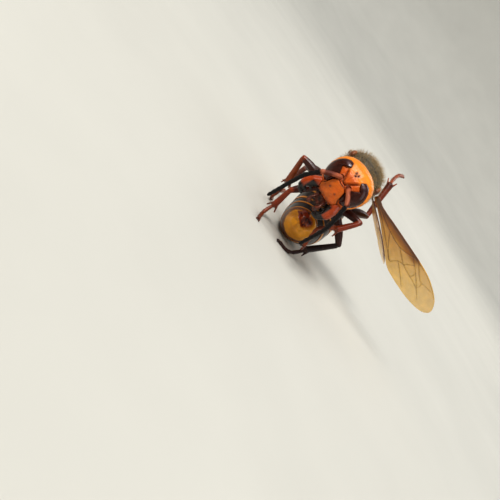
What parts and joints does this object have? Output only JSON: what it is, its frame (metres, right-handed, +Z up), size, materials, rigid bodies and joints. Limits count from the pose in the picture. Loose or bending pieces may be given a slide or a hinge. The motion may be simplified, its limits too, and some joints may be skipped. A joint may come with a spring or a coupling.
{
  "type": "asian giant hornet model",
  "caption": "Still life-size asian giant hornet with its left wings spread and its gaster curled forward under the thorax.",
  "frame": {"origin": "middle of the bounding box in x and y, on the floor that the feet and the curled gaster rest on", "axes": "+X to the hornet's left, +Y to its rear (the head faces -Y), +Z up"},
  "size_m": [0.0464, 0.049, 0.0279],
  "materials": {
    "face_cuticle": "orange-yellow cuticle, satin, finely punctured",
    "eye_surface": "near-black brown, glossy",
    "jaw_cuticle": "orange-red outside, black inner edge and teeth, glossy",
    "antenna_cuticle": "pinkish-brown scape, black flagellum, satin",
    "leg_cuticle": "black-brown to maroon and reddish brown, satin",
    "wing_membrane": "amber translucent membrane with brown veins",
    "gaster_cuticle": "orange-yellow bands on black-brown, satin",
    "soft_tissue": "dark red-brown, rough and finely haired",
    "tegula_cuticle": "brown, satin",
    "thorax_cuticle": "olive-grey to dark brown under dense golden-grey hair"
  },
  "bodies": {
    "root": {"clypeus": "face_cuticle", "coxa_fore_left": "leg_cuticle", "coxa_fore_right": "leg_cuticle", "coxa_hind_left": "leg_cuticle", "coxa_hind_right": "leg_cuticle", "coxa_mid_left": "leg_cuticle", "coxa_mid_right": "leg_cuticle", "eye_left": "eye_surface", "eye_right": "eye_surface", "femur_fore_left": "leg_cuticle", "femur_fore_right": "leg_cuticle", "femur_hind_left": "leg_cuticle", "femur_hind_right": "leg_cuticle", "femur_mid_left": "leg_cuticle", "femur_mid_right": "leg_cuticle", "flagellum_left": "antenna_cuticle", "flagellum_right": "antenna_cuticle", "forewing_left": "wing_membrane", "forewing_right": "wing_membrane", "gaster_1": "gaster_cuticle", "gaster_2": "gaster_cuticle", "gaster_3": "gaster_cuticle", "gaster_4": "gaster_cuticle", "gaster_5": "gaster_cuticle", "gaster_6": "gaster_cuticle", "head": "face_cuticle", "hindwing_left": "wing_membrane", "hindwing_right": "wing_membrane", "mandible_left": "jaw_cuticle", "mandible_right": "jaw_cuticle", "mouthparts": "soft_tissue", "neck": "thorax_cuticle", "petiole": "gaster_cuticle", "pronotum": "thorax_cuticle", "propodeum": "thorax_cuticle", "scape_left": "antenna_cuticle", "scape_right": "antenna_cuticle", "scutellum": "thorax_cuticle", "scutum": "thorax_cuticle", "sting_chamber": "soft_tissue", "tarsus_fore_left": "leg_cuticle", "tarsus_fore_right": "leg_cuticle", "tarsus_hind_left": "leg_cuticle", "tarsus_hind_right": "leg_cuticle", "tarsus_mid_left": "leg_cuticle", "tarsus_mid_right": "leg_cuticle", "tegula_left": "tegula_cuticle", "tegula_right": "tegula_cuticle", "tibia_fore_left": "leg_cuticle", "tibia_fore_right": "leg_cuticle", "tibia_hind_left": "leg_cuticle", "tibia_hind_right": "leg_cuticle", "tibia_mid_left": "leg_cuticle", "tibia_mid_right": "leg_cuticle"}
  },
  "joints": []
}
